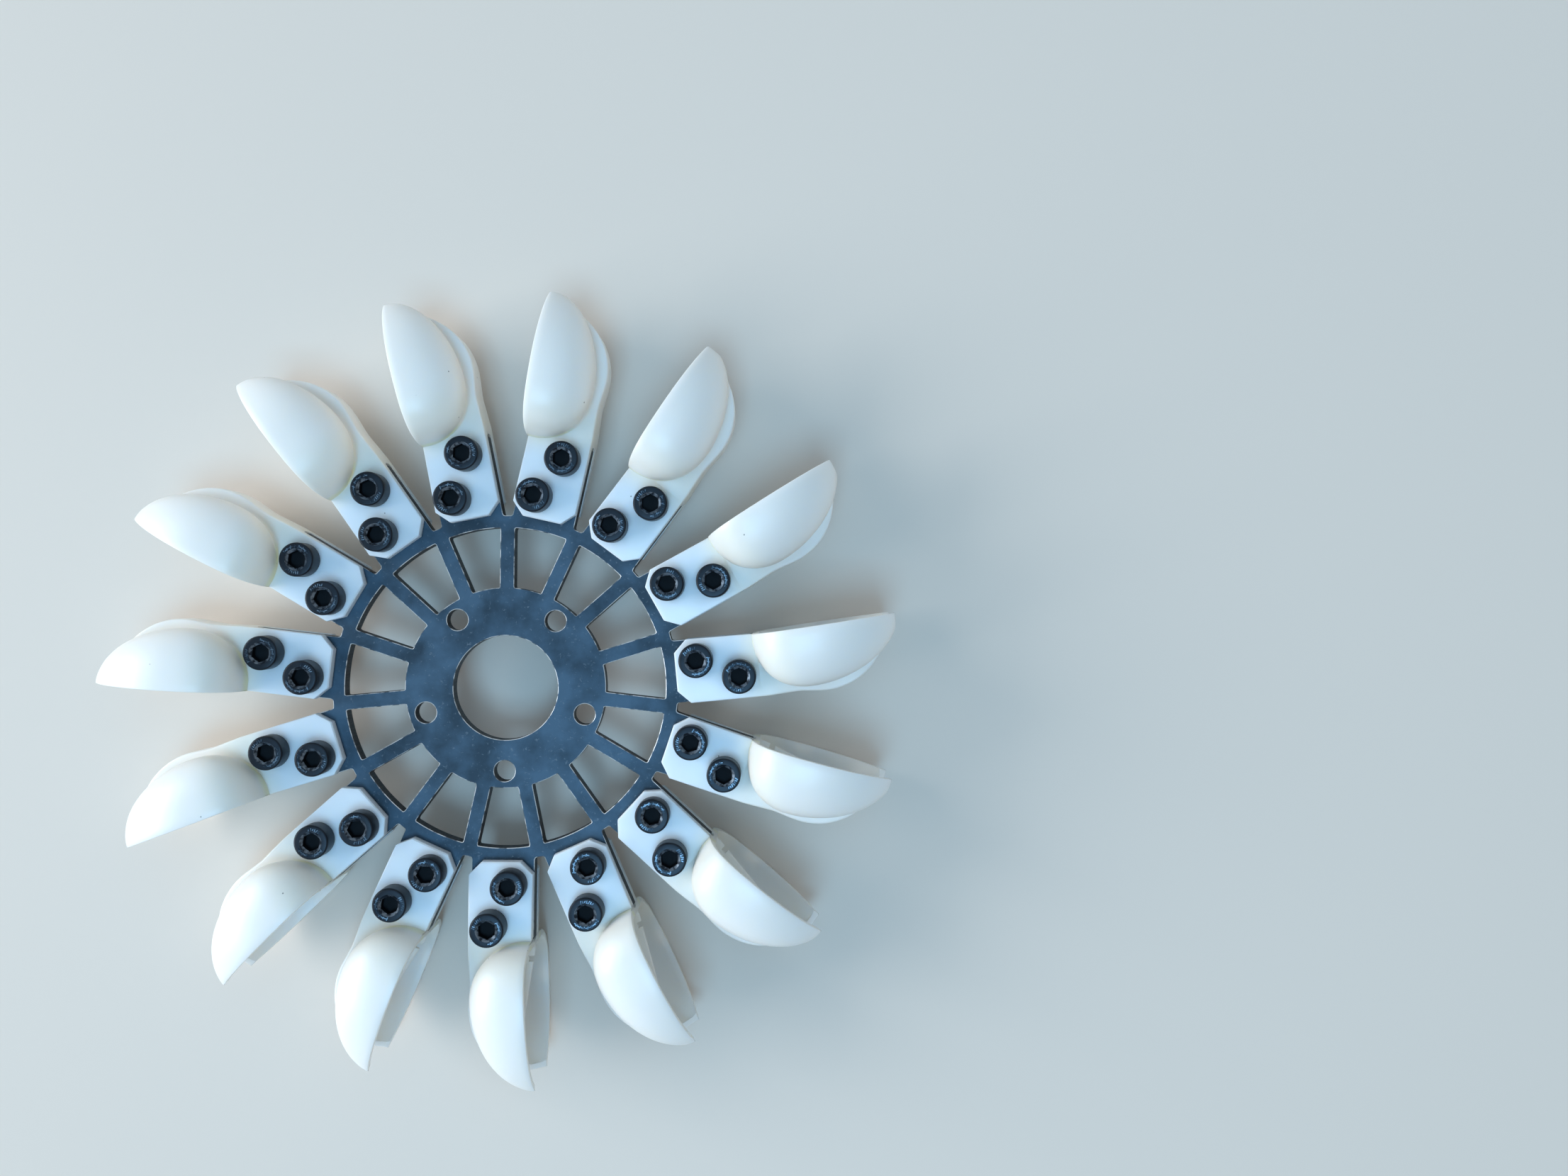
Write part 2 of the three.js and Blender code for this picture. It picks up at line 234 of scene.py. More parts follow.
def turned_copy(piece, name, angle, place=(0, 0)):
    """A copy with its own mesh, moved to a place in millimetres and then turned about the wheel's axis."""
    pick(piece)
    bpy.ops.object.duplicate()
    copy = bpy.context.object
    copy.name = name
    copy.data.name = name
    copy.data.transform(Matrix.Rotation(angle, 4, "Z") @ Matrix.Translation(Vector((*place, 0)) * MM))
    return copy


def around_wheel(piece, name, first_angle=FIRST_ANGLE, count=BUCKETS):
    """Copies a piece round the wheel and joins the copies. The piece itself is used up."""
    copies = [turned_copy(piece, name, first_angle + i * math.tau / count) for i in range(count)]
    bpy.data.objects.remove(piece)
    return join(*copies)


# %% Helpers that tell one edge from another
CORNER_ANGLE = math.radians(30)
SMOOTH_ANGLE = math.radians(35)
LEVEL = 0.99


def is_upright(edge):
    """True for an edge along Z where two walls meet at a corner."""
    a, b = edge.verts
    stands = abs(a.co.x - b.co.x) < SAME_PLACE and abs(a.co.y - b.co.y) < SAME_PLACE
    return stands and edge.is_manifold and edge.calc_face_angle() > CORNER_ANGLE


def is_rim_of_flat(edge):
    """True for an edge between a level face and a wall."""
    if not edge.is_manifold:
        return False
    level = [abs(face.normal.z) > LEVEL for face in edge.link_faces]
    return level[0] != level[1]


print("helpers ready")

# %% [markdown]
# ## Colours and finishes
#
# Colours are written as sRGB hex values, as a paint chart gives them, and turned to linear light
# once. A pattern's scale is worked out from its real size in millimetres. Each finish is named for
# the real material, and a finish with painted light in it says so.


# %% Helpers for finishes
def colour(code):
    """An sRGB hex colour as linear red, green, blue and alpha."""
    parts = [int(code[i : i + 2], 16) / 255 for i in (1, 3, 5)]
    return (*[p / 12.92 if p <= 0.04045 else ((p + 0.055) / 1.055) ** 2.4 for p in parts], 1)


def add(tree, kind, inputs=None, **settings):
    """Adds one node. Its inputs take values or the outputs of other nodes."""
    node = tree.nodes.new("ShaderNode" + kind)
    for name, value in settings.items():
        setattr(node, name, value)
    for socket, value in (inputs or {}).items():
        if isinstance(value, bpy.types.NodeSocket):
            tree.links.new(value, node.inputs[socket])
        else:
            node.inputs[socket].default_value = value
    return node


def new_finish(name):
    """An empty material with its shader and the object's own coordinates."""
    material = bpy.data.materials.new(name)
    material.use_nodes = True
    tree = material.node_tree
    shader = tree.nodes["Principled BSDF"]
    place = add(tree, "TexCoord").outputs["Object"]
    return material, tree, shader, place


def per_size(millimetres):
    """The scale that makes a pattern repeat once in that many millimetres."""
    return 1 / (millimetres * MM)


# %% [markdown]
# ### Moulded white nylon
#
# The buckets are injection moulded. Natural nylon is a little translucent: thin walls glow and the
# thick root looks like ivory. The fork is painted a cooler, bluish white than the cups: painted blue
# skylight on its flat faces. A pale yellow line runs along the foot of each cup, on the walls that
# face the axis. The mould leaves a satin skin with a very fine orange peel, and a few dark specks of
# burnt resin.


# %% Moulded nylon
def yellow_foot_line(tree, place, flat_place, radius):
    """A pale yellow line: just above the fork, near the root, on walls that look towards the axis."""
    height = add(tree, "SeparateXYZ", {0: place}).outputs["Z"]
    above_middle = add(tree, "Math", {0: height}, operation="ABSOLUTE").outputs["Value"]
    above_fork = add(
        tree, "MapRange", {"Value": above_middle, "From Min": 5.02 * MM, "From Max": 5.25 * MM}
    ).outputs["Result"]
    below_dome = add(
        tree,
        "MapRange",
        {"Value": above_middle, "From Min": 8.5 * MM, "From Max": 6 * MM},
        interpolation_type="SMOOTHSTEP",
    ).outputs["Result"]
    near_axis = add(
        tree,
        "MapRange",
        {"Value": radius, "From Min": 68.5 * MM, "From Max": 65 * MM, "To Max": 0.85},
        interpolation_type="SMOOTHSTEP",
    ).outputs["Result"]
    normal = add(tree, "TexCoord").outputs["Normal"]
    outwards = add(tree, "VectorMath", {0: normal, 1: flat_place}, operation="DOT_PRODUCT").outputs["Value"]
    outside = add(
        tree, "MapRange", {"Value": outwards, "From Min": 0, "From Max": -12 * MM}
    ).outputs["Result"]
    near_fork = add(tree, "Math", {0: above_fork, 1: below_dome}, operation="MULTIPLY").outputs["Value"]
    near_foot_line = add(tree, "Math", {0: near_fork, 1: outside}, operation="MULTIPLY").outputs["Value"]
    return add(tree, "Math", {0: near_foot_line, 1: near_axis}, operation="MULTIPLY").outputs["Value"]


def moulded_nylon():
    material, tree, shader, place = new_finish("moulded_white_nylon")
    flat_place = add(tree, "VectorMath", {0: place, 1: (1, 1, 0)}, operation="MULTIPLY").outputs["Vector"]
    radius = add(tree, "VectorMath", {0: flat_place}, operation="LENGTH").outputs["Value"]
    off_inner_fork = add(
        tree,
        "MapRange",
        {"Value": radius, "From Min": 58 * MM, "From Max": 66 * MM},
        interpolation_type="SMOOTHSTEP",
    ).outputs["Result"]
    root = add(
        tree,
        "MapRange",
        {"Value": radius, "From Min": 77 * MM, "From Max": 69 * MM},
        interpolation_type="SMOOTHSTEP",
    ).outputs["Result"]
    clouds = add(tree, "TexNoise", {"Vector": place, "Scale": per_size(14), "Detail": 3}).outputs["Fac"]
    # Inwards of 58 mm the fork is painted a cooler, bluish white than the cups: painted blue skylight on
    # its flat faces.
    white = add(
        tree,
        "Mix",
        {"Factor": off_inner_fork, "A": colour("#E6EEF3"), "B": colour("#F2EEE7")},
        data_type="RGBA",
    ).outputs["Result"]
    near_root = add(tree, "Math", {0: root, 1: clouds}, operation="MULTIPLY").outputs["Value"]
    ivory = add(tree, "Math", {0: near_root, 1: off_inner_fork}, operation="MULTIPLY").outputs["Value"]
    resin = add(
        tree,
        "Mix",
        {"Factor": ivory, "A": white, "B": colour("#ECE8DA")},
        data_type="RGBA",
    ).outputs["Result"]
    # A pale yellow line along the foot of each cup, on the walls that face the axis.
    with_foot_line = add(
        tree,
        "Mix",
        {"Factor": yellow_foot_line(tree, place, flat_place, radius), "A": resin, "B": colour("#F1EECB")},
        data_type="RGBA",
    ).outputs["Result"]
    cell = add(tree, "TexVoronoi", {"Vector": place, "Scale": per_size(7)}).outputs["Distance"]
    speck = add(tree, "MapRange", {"Value": cell, "From Min": 0.032, "From Max": 0.018}).outputs["Result"]
    speck_here = add(tree, "Math", {0: speck, 1: 0.75}, operation="MULTIPLY").outputs["Value"]
    surface = add(
        tree,
        "Mix",
        {"Factor": speck_here, "A": with_foot_line, "B": colour("#4A4640")},
        data_type="RGBA",
    ).outputs["Result"]
    peel = add(tree, "TexNoise", {"Vector": place, "Scale": per_size(0.9), "Detail": 2}).outputs["Fac"]
    gloss = add(tree, "MapRange", {"Value": clouds, "To Min": 0.3, "To Max": 0.42}).outputs["Result"]
    bump = add(tree, "Bump", {"Height": peel, "Strength": 0.12, "Distance": 0.02 * MM}).outputs["Normal"]
    for socket, value in {"Base Color": surface, "Roughness": gloss, "Normal": bump}.items():
        tree.links.new(value, shader.inputs[socket])
    shader.inputs["IOR"].default_value = 1.53
    shader.inputs["Subsurface Weight"].default_value = 0.5
    shader.inputs["Subsurface Radius"].default_value = (3.4 * MM, 3 * MM, 2.5 * MM)
    shader.inputs["Subsurface Scale"].default_value = 1
    return material


NYLON = moulded_nylon()
print(NYLON.name)

# %% [markdown]
# ### Hot-rolled steel with its mill scale
#
# The plate was cut by laser from hot-rolled sheet. The sheet keeps its blue-black mill scale: it is
# dark, mottled and satin, and rubbed to bare grey in small spots. The cut walls have upright
# striations, and along the cut's edge runs a burr of bare steel, painted near white in patches as a
# painted highlight.


# %% Plate steel
def mill_scale():
    material, tree, shader, place = new_finish("mill_scale_steel")
    patches = add(tree, "TexNoise", {"Vector": place, "Scale": per_size(9), "Detail": 5}).outputs["Fac"]
    grain = add(tree, "TexNoise", {"Vector": place, "Scale": per_size(0.8), "Detail": 4}).outputs["Fac"]
    mottle = add(
        tree, "MapRange", {"Value": patches, "From Min": 0.35, "From Max": 0.65}
    ).outputs["Result"]
    scale_colour = add(
        tree,
        "Mix",
        {"Factor": mottle, "A": colour("#273743"), "B": colour("#445B6D")},
        data_type="RGBA",
    ).outputs["Result"]
    rubbed = add(
        tree, "MapRange", {"Value": grain, "From Min": 0.62, "From Max": 0.74, "To Max": 0.5}
    ).outputs["Result"]
    surface = add(
        tree,
        "Mix",
        {"Factor": rubbed, "A": scale_colour, "B": colour("#6E7880")},
        data_type="RGBA",
    ).outputs["Result"]
    gloss = add(tree, "MapRange", {"Value": patches, "To Min": 0.42, "To Max": 0.6}).outputs["Result"]
    bump = add(tree, "Bump", {"Height": grain, "Strength": 0.25, "Distance": 0.03 * MM}).outputs["Normal"]
    for socket, value in {"Base Color": surface, "Roughness": gloss, "Normal": bump}.items():
        tree.links.new(value, shader.inputs[socket])
    shader.inputs["Metallic"].default_value = 0.55
    return material


def burr_with_painted_highlight():
    material, tree, shader, place = new_finish("laser_burr_painted_highlight")
    broken = add(tree, "TexNoise", {"Vector": place, "Scale": per_size(2.2), "Detail": 4}).outputs["Fac"]
    bright = add(
        tree, "MapRange", {"Value": broken, "From Min": 0.4, "From Max": 0.52}
    ).outputs["Result"]
    # Bare steel along the burr, brightened in patches to near white: a painted highlight where the cut edge
    # catches the light.
    surface = add(
        tree,
        "Mix",
        {"Factor": bright, "A": colour("#66717C"), "B": colour("#F2F5F6")},
        data_type="RGBA",
    ).outputs["Result"]
    tree.links.new(surface, shader.inputs["Base Color"])
    shader.inputs["Metallic"].default_value = 0.6
    shader.inputs["Roughness"].default_value = 0.42
    return material


def cut_wall():
    material, tree, shader, place = new_finish("laser_cut_wall")
    stretched = add(tree, "VectorMath", {0: place, 1: (1, 1, 0.08)}, operation="MULTIPLY").outputs["Vector"]
    lines = add(tree, "TexNoise", {"Vector": stretched, "Scale": per_size(0.5), "Detail": 2}).outputs["Fac"]
    shade = add(tree, "MapRange", {"Value": lines, "From Min": 0.35, "From Max": 0.65}).outputs["Result"]
    surface = add(
        tree,
        "Mix",
        {"Factor": shade, "A": colour("#24292F"), "B": colour("#3D3E40")},
        data_type="RGBA",
    ).outputs["Result"]
    bump = add(tree, "Bump", {"Height": lines, "Strength": 0.35, "Distance": 0.05 * MM}).outputs["Normal"]
    tree.links.new(surface, shader.inputs["Base Color"])
    tree.links.new(bump, shader.inputs["Normal"])
    shader.inputs["Metallic"].default_value = 0.7
    shader.inputs["Roughness"].default_value = 0.5
    return material


MILL_SCALE = mill_scale()
BURR_WITH_PAINTED_HIGHLIGHT = burr_with_painted_highlight()
CUT_WALL = cut_wall()
print(MILL_SCALE.name, BURR_WITH_PAINTED_HIGHLIGHT.name, CUT_WALL.name)

# %% [markdown]
# ### Black-oxide screws and zinc-plated nuts
#
# High-strength cap screws are blackened in a hot salt bath and oiled, which gives a deep blue-black
# with a soft sheen. The hexagon's rim and the raised marks lose the black first and show grey
# steel. The inside of the hexagon is painted near black: painted shade in the recess. Lock nuts are
# usually zinc plated, which is pale and slightly milky.


# %% Screw and nut steel
def black_oxide():
    material, tree, shader, place = new_finish("black_oxide_steel")
    haze = add(tree, "TexNoise", {"Vector": place, "Scale": per_size(3), "Detail": 4}).outputs["Fac"]
    surface = add(
        tree,
        "Mix",
        {"Factor": haze, "A": colour("#12171D"), "B": colour("#262E37")},
        data_type="RGBA",
    ).outputs["Result"]
    gloss = add(tree, "MapRange", {"Value": haze, "To Min": 0.3, "To Max": 0.46}).outputs["Result"]
    tree.links.new(surface, shader.inputs["Base Color"])
    tree.links.new(gloss, shader.inputs["Roughness"])
    shader.inputs["Metallic"].default_value = 0.4
    shader.inputs["Specular IOR Level"].default_value = 0.35
    return material


def worn_oxide():
    material, tree, shader, place = new_finish("worn_black_oxide")
    rubbed = add(tree, "TexNoise", {"Vector": place, "Scale": per_size(1.1), "Detail": 3}).outputs["Fac"]
    bright = add(tree, "MapRange", {"Value": rubbed, "From Min": 0.4, "From Max": 0.6}).outputs["Result"]
    surface = add(
        tree,
        "Mix",
        {"Factor": bright, "A": colour("#27303A"), "B": colour("#7B8996")},
        data_type="RGBA",
    ).outputs["Result"]
    tree.links.new(surface, shader.inputs["Base Color"])
    shader.inputs["Metallic"].default_value = 0.8
    shader.inputs["Roughness"].default_value = 0.35
    return material


# The inside of the hexagon gets a near-black, slightly mottled painted shade, standing in for the shade in
# the recess.
def hexagon_shade_finish():
    material, tree, shader, place = new_finish("hexagon_painted_shade")
    shade_mottle = add(tree, "TexNoise", {"Vector": place, "Scale": per_size(1.5), "Detail": 3}).outputs["Fac"]
    surface = add(
        tree,
        "Mix",
        {"Factor": shade_mottle, "A": colour("#05070A"), "B": colour("#10151B")},
        data_type="RGBA",
    ).outputs["Result"]
    tree.links.new(surface, shader.inputs["Base Color"])
    shader.inputs["Roughness"].default_value = 0.7
    shader.inputs["Specular IOR Level"].default_value = 0.2
    return material


def zinc_plate():
    material, tree, shader, place = new_finish("zinc_plated_steel")
    milky = add(tree, "TexNoise", {"Vector": place, "Scale": per_size(2), "Detail": 4}).outputs["Fac"]
    gloss = add(tree, "MapRange", {"Value": milky, "To Min": 0.22, "To Max": 0.4}).outputs["Result"]
    surface = add(
        tree,
        "Mix",
        {"Factor": milky, "A": colour("#AEB2B4"), "B": colour("#D6D8D6")},
        data_type="RGBA",
    ).outputs["Result"]
    tree.links.new(surface, shader.inputs["Base Color"])
    tree.links.new(gloss, shader.inputs["Roughness"])
    shader.inputs["Metallic"].default_value = 0.95
    return material


BLACK_OXIDE = black_oxide()
WORN_OXIDE = worn_oxide()
HEXAGON_SHADE = hexagon_shade_finish()
ZINC_PLATE = zinc_plate()
print(BLACK_OXIDE.name, WORN_OXIDE.name, HEXAGON_SHADE.name, ZINC_PLATE.name)

# %% [markdown]
# ## The steel plate
#
# The real plate is one cut outline. Here it starts as a round disc. Fifteen bars become its arms,
# and the windows, the bore and the holes are cut out of it. The laser leaves small round corners,
# and the last bevel along every cut edge is the burr, with a finish of its own: bare steel with a
# painted highlight.

# %% Plate sizes, in millimetres
plate_low, plate_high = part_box("runner_plate")
PLATE_HALF = plate_high.z / MM
ARM_END = -plate_low.y / MM
ARM_WIDTH = 15.8
RING_OUTER = 43.7
WINDOW_INNER = 25.4
WINDOW_OUTER = 40.6
SPOKE_WIDTH = 3.6
BORE = 26.5
BOLT_CIRCLE = 42.2
BOLT_HOLE = 5.4
HUB_BOLTS = 5
SCREW_PLACES = {"inner": (49.0, 2.6), "outer": (59.4, -2.3)}
SCREW_HOLE = 5.6
ARM_START = 41.5
SPOKE_REACH = (20, 45)
CUT_CORNER = 0.7
CORNER_REACH = 1.5
BURR = 0.16
SMALLEST_EDGE = 0.02
CUT_CLEARANCE = 1
print(f"plate {2 * PLATE_HALF:.1f} mm thick, arms out to {ARM_END:.1f} mm")


# %% Cut the plate
def bar(name, inner, outer, width, reach):
    outline = [(inner, -width / 2), (outer, -width / 2), (outer, width / 2), (inner, width / 2)]
    return slab(name, outline, -reach, reach)


def window_cutters():
    """Fifteen sectors of a ring, with parallel-sided spokes left between them."""
    reach = PLATE_HALF + CUT_CLEARANCE
    further = reach + CUT_CLEARANCE
    sectors = rod("windows", 2 * WINDOW_OUTER, -reach, reach, sides=360)
    combine(sectors, rod("hub", 2 * WINDOW_INNER, -further, further, sides=240), "DIFFERENCE")
    spoke = bar("spokes", *SPOKE_REACH, SPOKE_WIDTH, further)
    combine(sectors, around_wheel(spoke, "spokes", FIRST_ANGLE + PITCH / 2), "DIFFERENCE")
    round_edges(sectors, is_upright, CUT_CORNER, segments=3)
    return sectors


def is_between_arms(edge):
    """True for an upright corner where an arm leaves the ring."""
    return is_upright(edge) and edge.verts[0].co.xy.length < (RING_OUTER + CORNER_REACH) * MM


def model_plate():
    plate = rod("runner_plate_cut", 2 * RING_OUTER, -PLATE_HALF, PLATE_HALF, sides=360)
    arms = around_wheel(bar("arms", ARM_START, ARM_END, ARM_WIDTH, PLATE_HALF), "arms")
    combine(plate, arms, "UNION")
    round_edges(plate, is_between_arms, CUT_CORNER, segments=3)
    reach = PLATE_HALF + CUT_CLEARANCE
    combine(plate, window_cutters(), "DIFFERENCE")
    combine(plate, rod("bore", BORE, -reach, reach, sides=160), "DIFFERENCE")
    bolt = rod("bolts", BOLT_HOLE, -reach, reach, x=BOLT_CIRCLE / 2, sides=40)
    combine(plate, around_wheel(bolt, "bolts", count=HUB_BOLTS), "DIFFERENCE")
    for x, y in SCREW_PLACES.values():
        hole = rod("holes", SCREW_HOLE, -reach, reach, x=x, y=y, sides=24)
        combine(plate, around_wheel(hole, "holes"), "DIFFERENCE")
    return plate


def finish_plate(plate):
    for material in (MILL_SCALE, BURR_WITH_PAINTED_HIGHLIGHT, CUT_WALL):
        plate.data.materials.append(material)
    merge_points(plate, SMALLEST_EDGE)
    for face in plate.data.polygons:
        face.material_index = 0 if abs(face.normal.z) > LEVEL else 2
    # The burr bevel gets the finish with the painted highlight.
    count = round_edges(plate, is_rim_of_flat, BURR, segments=1, material=1)
    pick(plate)
    bpy.ops.object.shade_smooth_by_angle(angle=SMOOTH_ANGLE)
    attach(plate, "root")
    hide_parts("runner_plate")
    print(f"{plate.name}: {len(plate.data.polygons)} faces, {count} cut edges")


finish_plate(model_plate())

# %% [markdown]
# ## One bucket
#
# A real bucket comes out of its mould in one piece: a fork that straddles the arm, a web that runs
# on along the back, and two cups with a splitter between them. It is modelled in its own frame,
# with X outwards along the arm, Y towards the open side and Z across. Each cup is a squarish
# quarter of an egg, so its ribs come from a superellipse. That gives the blunt root and the
# drawn-out tip with two curves instead of a pile of points. A cup is deepest a third of the way
# from the web to the rim, and from there a soft valley leads its back up to the web.

# %% Cup sizes, in millimetres
bucket_low, bucket_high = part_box("bucket_01")
TIP_RADIUS = -bucket_low.y / MM
ROOT_RADIUS = 63.4
CUP_HALF_WIDTH = 17.8
WIDEST_RADIUS = 78.3
TIP_HALF_WIDTH = 8.1
CUP_DEPTH = 15
DEEPEST_RADIUS = 78
OPEN_AT_ROOT = 7.9
OPEN_AT_TIP = 9.9
ROUNDNESS = 0.9
BACK_TO_ROOT = (2.2, 0.1)
BACK_TO_TIP = (1.9, 1)
SIDE_TO_ROOT = (3, 0.2)
SIDE_TO_TIP_POWER = 2
WALL_STEPS = 14
print(f"cups {CUP_DEPTH} mm deep and {2 * CUP_HALF_WIDTH} mm across both")


# %% The cup's curves
OFFSET_STEPS = 16


def fall(u, power):
    """The fall of a superellipse: 1 in the middle, 0 at the end."""
    return max(0, 1 - min(abs(u), 1) ** power) ** (1 / power)


def open_side(radius):
    return OPEN_AT_ROOT + (radius - ROOT_RADIUS) / (TIP_RADIUS - ROOT_RADIUS) * (OPEN_AT_TIP - OPEN_AT_ROOT)


def cup_back(radius):
    to_root = radius < DEEPEST_RADIUS
    end, (power, past) = (ROOT_RADIUS, BACK_TO_ROOT) if to_root else (TIP_RADIUS, BACK_TO_TIP)
    length = abs(end - DEEPEST_RADIUS) + past
    return open_side(radius) - CUP_DEPTH * fall((radius - DEEPEST_RADIUS) / length, power)


def cup_half_width(radius):
    power, past = SIDE_TO_ROOT
    if radius < WIDEST_RADIUS:
        return CUP_HALF_WIDTH * fall((WIDEST_RADIUS - radius) / (WIDEST_RADIUS - ROOT_RADIUS + past), power)
    length = (TIP_RADIUS - WIDEST_RADIUS) / fall(TIP_HALF_WIDTH / CUP_HALF_WIDTH, SIDE_TO_TIP_POWER)
    return CUP_HALF_WIDTH * fall((radius - WIDEST_RADIUS) / length, SIDE_TO_TIP_POWER)


def parallel_to(curve, radius, distance):
    """A curve beside another one, above it by a distance, or below it where the distance is negative."""
    away = math.copysign(1, distance)
    best = -math.inf
    for i in range(-OFFSET_STEPS, OFFSET_STEPS + 1):
        step = i / OFFSET_STEPS * abs(distance)
        at = min(max(radius + step, ROOT_RADIUS), TIP_RADIUS)
        best = max(best, away * curve(at) + math.sqrt(distance**2 - step**2))
    return away * best


def stations(start, end, count):
    """Places between two radii, closer together at both ends."""
    return [(start + end) / 2 - (end - start) / 2 * math.cos(math.pi * i / count) for i in range(count + 1)]


print(f"at its deepest a cup's back lies {-cup_back(DEEPEST_RADIUS):.1f} mm behind the arm's middle")

# %% [markdown]
# ### The outside
#
# Outside, both cups and the web flow into each other. Each rib goes down the front cup's round wall
# to its deepest line, up a soft valley, and ends in a hollow fillet against the web's side. The
# rear half is its mirror image. A skin over such ribs is smooth, and any rib can be checked by
# itself.

# %% The outside, and how it meets the web
FORK_HALF_THICKNESS = 5
WEB_HALF_THICKNESS = 3.5
THINNING_START = 67.5
THINNING_END = 86
WEB_END = 97.4
VALLEY_DEPTH = 1.1
VALLEY_WIDTH = 4.6
VALLEY_STEPS = 4
FILLET = 1.1
FILLET_FADE = 3
FILLET_ANGLES = (22.5, 45, 67.5, 90)
LEAST_FILLET = 0.01
JOIN = 0.05


def spine_half(radius):
    """The fork is 10 mm thick and the web 7 mm, with a long soft slope from one to the other."""
    along = min(max((radius - THINNING_START) / (THINNING_END - THINNING_START), 0), 1)
    return FORK_HALF_THICKNESS + (WEB_HALF_THICKNESS - FORK_HALF_THICKNESS) * along**2 * (3 - 2 * along)


def deepest_line(radius):
    """How far from the middle each cup is deepest: a third of the way from the web's side to the rim."""
    side = spine_half(radius)
    return side + (max(cup_half_width(radius), FORK_HALF_THICKNESS) - side) / 3


def cup_wall(radius, top, bottom, rim, middle):
    """The round wall of the front cup at one radius, from its rim down to its lowest point."""
    points = []
    for i in range(WALL_STEPS + 1):
        turn = i / WALL_STEPS * math.pi / 2
        y = top - (top - bottom) * math.sin(turn) ** ROUNDNESS
        z = middle + (rim - middle) * max(0, math.cos(turn)) ** ROUNDNESS
        points.append((radius, y, z))
    return points


def mirrored_rib(front):
    return front + [(x, y, -z) for x, y, z in reversed(front)]


def outer_rib(radius):
    """The outside of the cups. From the deepest line the back rises to a hollow fillet at the web.

    The fillet takes a third of that way at most, and it fades out where the web ends.
    """
    half, back = max(cup_half_width(radius), FORK_HALF_THICKNESS), cup_back(radius)
    side, deepest = spine_half(radius), deepest_line(radius)
    to_end = max((WEB_END - radius) / FILLET_FADE, LEAST_FILLET)
    fillet = FILLET * min(to_end, (deepest - side) / 3 / FILLET + LEAST_FILLET, 1)
    wall = cup_wall(radius, open_side(radius), back, half, deepest)
    valley = VALLEY_DEPTH * min((deepest - side) / VALLEY_WIDTH, 1)
    for i in range(1, VALLEY_STEPS + 1):
        inwards = i / VALLEY_STEPS
        wall.append((radius, back + valley * inwards**2, deepest + (side + fillet - deepest) * inwards))
    for degrees in FILLET_ANGLES:
        turn = math.radians(degrees)
        z = side + fillet * (1 - math.sin(turn)) - JOIN
        wall.append((radius, back + valley - fillet * (1 - math.cos(turn)), z))
    return mirrored_rib(wall)


print(f"cups deepest {deepest_line(DEEPEST_RADIUS):.1f} mm to each side of the middle")

# %% [markdown]
# ### The hollow
#
# The jet meets the splitter, parts in two and is turned round by the cups, so on a real wheel the
# inside matters most. It is cut out with a body of its own. That body follows the outside's curves,
# moved inwards by the wall's thickness, and leaves the splitter standing in the middle.

# %% The hollow and the splitter
WALL = 1.5
SPLITTER_START = (69, 7.7)
SPLITTER_END = (97, 3.7)
SPLITTER_HALF_WIDTH = 0.5
SPLITTER_CROWN = 0.25
SPLITTER_RISE = 1.7
SPLITTER_THINNING = 1.6
LEAST_SPLITTER = 0.1
LEAST_FLOOR = 1
SPLITTER_STEPS = 6


def hollow_rib(radius):
    top = open_side(radius)
    floor = parallel_to(cup_back, radius, WALL)
    rim = parallel_to(cup_half_width, radius, -WALL)
    foot = min(deepest_line(radius), rim - LEAST_FLOOR)
    along = (radius - SPLITTER_START[0]) / (SPLITTER_END[0] - SPLITTER_START[0])
    ridge = SPLITTER_START[1] + along * (SPLITTER_END[1] - SPLITTER_START[1])
    ridge = max(min(ridge, top), floor + LEAST_SPLITTER)
    splitter = []
    for i in range(1, SPLITTER_STEPS + 1):
        up = i / SPLITTER_STEPS
        z = SPLITTER_HALF_WIDTH + (foot - SPLITTER_HALF_WIDTH) * (1 - up) ** SPLITTER_THINNING
        splitter.append((radius, floor + up**SPLITTER_RISE * (ridge - floor - SPLITTER_CROWN), z))
    splitter.append((radius, ridge, SPLITTER_HALF_WIDTH / 2))
    above_rim = (radius, top + 2 * CUT_CLEARANCE, rim)
    return mirrored_rib([above_rim, *cup_wall(radius, top, floor, rim, foot), *splitter])


print(f"walls {WALL} mm thick")

# %% [markdown]
# ### The fork and the web
#
# The fork and the web are one long bar with rounded edges, thicker at the fork. Its back follows
# the fork's straight side, draws in to a neck, swells to the web's own lip, and turns up to the
# open side at the web's end. It is a skin over ribs too, because its section changes all the way.
# Its other side ends within the cup's wall, so that it never shows in the hollow.

# %% The fork and the web
FORK_INNER = -bucket_high.y / MM
FORK_HALF_WIDTH = 8.05
FORK_CHAMFER = 3.2
FORK_EDGE = 0.3
FORK_OUTER = 73.5
FORK_TAPER_RADIUS = 66.4
NECK_BACK = -7.6
LIP_BACK = -8.1
LIP_RADIUS = 81
LIP_LENGTH = 17
LIP_TOP = 9.6
WEB_START = ROOT_RADIUS + 1
WEB_EDGE = 0.55
WEB_IN_WALL = 1
EDGE_ANGLES = (0, 30, 60, 90)
SPINE_RIBS = 36


def spine_back(radius):
    """The back of the fork, and from the fork's end on the back of the web."""
    if radius <= FORK_TAPER_RADIUS:
        return -FORK_HALF_WIDTH
    if radius < FORK_OUTER:
        along = (radius - FORK_TAPER_RADIUS) / (FORK_OUTER - FORK_TAPER_RADIUS)
        return -FORK_HALF_WIDTH + along * (NECK_BACK + FORK_HALF_WIDTH)
    if radius < LIP_RADIUS:
        along = (radius - FORK_OUTER) / (LIP_RADIUS - FORK_OUTER)
        return NECK_BACK + (LIP_BACK - NECK_BACK) * along**2 * (3 - 2 * along)
    return LIP_TOP + (LIP_BACK - LIP_TOP) * fall((radius - LIP_RADIUS) / LIP_LENGTH, 2)


